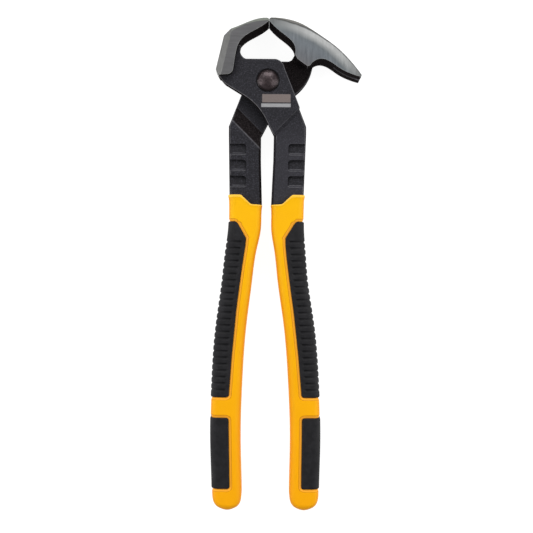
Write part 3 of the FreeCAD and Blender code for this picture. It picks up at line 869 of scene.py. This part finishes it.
def claw_steel():
    """Satin cheek, with painted light and shade: a long painted highlight band under the claw's back, a
    dark strip and a light line along the back's edge.
    """
    s, tone = ground_steel("claw_steel", (2600.0, 120.0, 2600.0), 0.36)
    x, y, radius = CLAW_ARC
    from_back = s.from_point(x, y, radius - 20.0, radius)
    wander = s.times(s.minus(s.noise(90.0, 2.0), 0.5), 0.10)
    # Painted light and shade by distance from the back: bluish tones, a dark strip, and a light line at
    # the edge.
    shaded_base = s.ramp(
        s.add(from_back, wander),
        (0.0, (0.27, 0.255, 0.265)), (0.30, (0.26, 0.275, 0.30)), (0.60, (0.29, 0.325, 0.36)),
        (0.80, (0.27, 0.30, 0.31)), (0.955, (0.27, 0.28, 0.28)), (0.975, (0.13, 0.13, 0.12)),
        (0.985, (0.13, 0.13, 0.12)), (1.0, (0.36, 0.35, 0.32)),
    )
    # Painted highlight: a long light band under the claw's back, strongest near its middle.
    highlight_band = s.ramp(s.add(from_back, wander), (0.70, 0.0), (0.85, 0.9), (0.935, 1.0), (0.965, 0.0))
    reach = s.ramp(s.from_point(*CLAW_HIGHLIGHT, 5.0, 28.0), (0.0, 1.0), (0.35, 0.85), (1.0, 0.0))
    painted_highlight = s.times(highlight_band, reach)
    colour = s.mix(s.times(tone, 0.25), s.mix(painted_highlight, shaded_base, (0.92, 0.93, 0.92)), (0.36, 0.37, 0.38))
    return painted_rim_highlights(s, colour)


def rivet_bronze():
    """Dark brown upset rivet head, unevenly hammered, with painted shade in its recesses and a painted
    shadow round its brim.
    """
    s = Shader("rivet_bronze")
    blotch = s.noise(420.0, 4.0, 0.6)
    colour = s.ramp(blotch, (0.3, (0.030, 0.021, 0.023)), (0.7, (0.066, 0.048, 0.051)))
    # Painted shade: darkened in the head's recesses.
    colour = s.mix(s.ramp(s.recesses(0.0015), (0.4, 0.9), (0.9, 0.0)), colour, (0.004, 0.003, 0.003))
    # Painted shadow: a dark ring round the head's brim.
    brim_shadow = s.ramp(s.from_point(0.0, 0.0, *RIVET_BRIM_SHADOW), (0.0, 0.0), (0.7, 0.9))
    s.feed("Base Color", s.mix(brim_shadow, colour, (0.010, 0.005, 0.006)))
    s.feed("Roughness", s.ramp(s.noise(800.0, 3.0), (0.3, 0.24), (0.7, 0.40)))
    s.set(Metallic=0.55)
    dents = s.bump(s.noise(420.0, 2.0), 0.0005, 0.7)
    s.feed("Normal", s.bump(s.noise(2600.0, 3.0), 0.00006, 0.6, dents))
    return s.material


# --- Steel pieces carried over from the CAD ------------------------------------------------------

EDGE_SOFTENING = 0.0004
SHARP = math.radians(28)


def soften_edges(node):
    """Rounds the carried-over solid's sharp edges."""
    weld = node.modifiers.new("weld", "WELD")
    weld.merge_threshold = 1e-6
    bevel = node.modifiers.new("edges", "BEVEL")
    bevel.width = EDGE_SOFTENING
    bevel.segments = 2
    bevel.limit_method = "ANGLE"
    bevel.angle_limit = SHARP
    bevel.use_clamp_overlap = True
    bevel.harden_normals = False
    normals = node.modifiers.new("normals", "WEIGHTED_NORMAL")
    normals.keep_sharp = True


FACE, SCALE_AND_SHADE, POCKET, CHEEK, BEVEL = range(5)      # the order of a forged half's materials; the scale and pocket ones carry painted shade


def dress_half(node_name, materials, finish_at):
    """Gives each face of a forged half its finish."""
    node = frame["nodes"][node_name]
    mesh = node.data
    mesh.materials.clear()
    for material in materials:
        mesh.materials.append(material)
    for face in mesh.polygons:
        face.material_index = finish_at((face.center - PIVOT) / MM, face.normal)
    return node


def faces_outward(centre, normal, least_reach):
    """Whether an upright face looks away from the pivot and is further from it than least_reach."""
    outward = normal.x * centre.x + normal.y * centre.y
    return abs(normal.z) < 0.1 and outward > 4 and centre.xy.length > least_reach


def forging_finish(centre, normal):
    """Blasted flats and pocket slopes; a darker copy as painted shade on pocket floors; dark scale with
    painted shade on walls, ramps and the head's recess.
    """
    level = abs(centre.z)
    tilted_up = abs(normal.z) > 0.3      # or down, on the underside
    in_pocket_rows = POCKET_FACES_Y[0] < centre.y < POCKET_FACES_Y[1]
    if in_pocket_rows and POCKET_LEVELS[0] < level < POCKET_LEVELS[1] and tilted_up:
        return POCKET if abs(normal.z) > 0.95 else FACE
    at_bar_slope = BAR_SLOPE_LEVELS[0] < level < BAR_SLOPE_LEVELS[1] and centre.y < BAR_SLOPE_Y
    on_bar_slope = at_bar_slope and tilted_up
    in_recess = level < LAP_LEVEL and centre.y > LAP_Y
    steep = abs(normal.z) < 0.85 and not on_bar_slope
    return SCALE_AND_SHADE if steep or in_recess else FACE


def hammer_finish(centre, normal):
    """Ground cheeks, bevels, striking face and curved top of the hammer poll."""
    level = abs(centre.z)
    if level > CHEEK_LEVEL and abs(normal.z) > 0.9:
        return CHEEK
    by_striking_face = centre.x < POLL_BEVEL_X and centre.y > HEAD_Y and level > POLL_BEVEL_LEVEL
    if by_striking_face and 0.1 < abs(normal.z) < 0.9:
        return BEVEL
    if centre.y > POLL_BACK_Y and faces_outward(centre, normal, 27):
        return BEVEL
    return forging_finish(centre, normal)


def claw_finish(centre, normal):
    """Ground cheeks and curved back of the claw."""
    if centre.y > HEAD_Y and faces_outward(centre, normal, 30):
        return BEVEL
    on_cheek = abs(centre.z) > CHEEK_LEVEL and abs(normal.z) > 0.9
    return CHEEK if on_cheek else forging_finish(centre, normal)


# --- Stage ---------------------------------------------------------------------------------------

FLOOR_REACH = 30.0
FLOOR_GLOW = 0.93           # keeps the pale floor white right up to the tool


def make_floor():
    mesh = bpy.data.meshes.new("floor")
    corners = [(FLOOR_REACH * x, FLOOR_REACH * y, 0) for x, y in ((-1, -1), (1, -1), (1, 1), (-1, 1))]
    mesh.from_pydata(corners, [], [(0, 1, 2, 3)])
    floor = bpy.data.objects.new("floor", mesh)
    bpy.context.scene.collection.objects.link(floor)
    s = Shader("floor_white")
    s.feed("Base Color", s.ramp(s.noise(3.0, 2.0), (0.3, 0.25), (0.7, 0.28)))
    s.set(Roughness=0.9, Specular_IOR_Level=0.1)
    s.surface.inputs["Emission Color"].default_value = (1.0, 1.0, 1.0, 1.0)
    s.surface.inputs["Emission Strength"].default_value = FLOOR_GLOW
    mesh.materials.append(s.material)


# Soft boxes that face the middle of the tool: name, place, width and height, power
LIGHTS = (
    ("top_softbox", (0.0, 1.20, 0.95), (1.7, 0.7), 16.5),
    ("left_softbox", (-1.0, 0.0, 0.55), (0.6, 1.2), 6.5),
    ("right_softbox", (1.0, 0.0, 0.55), (0.6, 1.2), 6.5),
)
WORLD_STRENGTH = 0.30


def make_lights():
    for name, place, (width, height), power in LIGHTS:
        data = bpy.data.lights.new(name, "AREA")
        data.shape = "RECTANGLE"
        data.size = width
        data.size_y = height
        data.energy = power
        light = bpy.data.objects.new(name, data)
        light.location = place
        light.rotation_euler = (-Vector(place)).to_track_quat("-Z", "Y").to_euler()
        bpy.context.scene.collection.objects.link(light)
    world = bpy.data.worlds.new("studio")
    world.use_nodes = True
    background = world.node_tree.nodes["Background"]
    background.inputs["Color"].default_value = (1.0, 1.0, 1.0, 1)
    background.inputs["Strength"].default_value = WORLD_STRENGTH
    bpy.context.scene.world = world
    bpy.context.scene.view_settings.view_transform = "Standard"


CAMERA_DISTANCE = 0.550
CAMERA_SPAN = 0.2841        # width of what the camera sees at the lap plane
CAMERA_ROLL = math.radians(0.4)
CAMERA_FROM_PIVOT = (-0.00004, -0.0981)


def make_camera():
    data = bpy.data.cameras.new("camera")
    data.sensor_width = 36.0
    data.lens = data.sensor_width * CAMERA_DISTANCE / CAMERA_SPAN
    data.clip_start = 0.01
    camera = bpy.data.objects.new("camera", data)
    across, up = CAMERA_FROM_PIVOT
    camera.location = PIVOT + Vector((across, up, CAMERA_DISTANCE))
    camera.rotation_euler = (0, 0, CAMERA_ROLL)
    bpy.context.scene.collection.objects.link(camera)
    bpy.context.scene.camera = camera


# --- Scene ---------------------------------------------------------------------------------------

make_floor()
make_lights()
make_camera()

pocket = shaded_pocket_floor()
bevel = bevel_steel()
hammer_shaded_scale = shaded_scale("hammer_shaded_scale", HAMMER_SIDE)
claw_shaded_scale = shaded_scale("claw_shaded_scale", CLAW_SIDE)
hammer_materials = (labelled_face(), hammer_shaded_scale, pocket, poll_steel(), bevel)
claw_materials = (blasted_face(), claw_shaded_scale, pocket, claw_steel(), bevel)
soften_edges(dress_half("hammer_half", hammer_materials, hammer_finish))
soften_edges(dress_half("claw_half", claw_materials, claw_finish))

rivet = frame["nodes"]["pivot_rivet"]
rivet.data.materials.clear()
rivet.data.materials.append(rivet_bronze())

make_grips(yellow_plastic(), black_rubber())
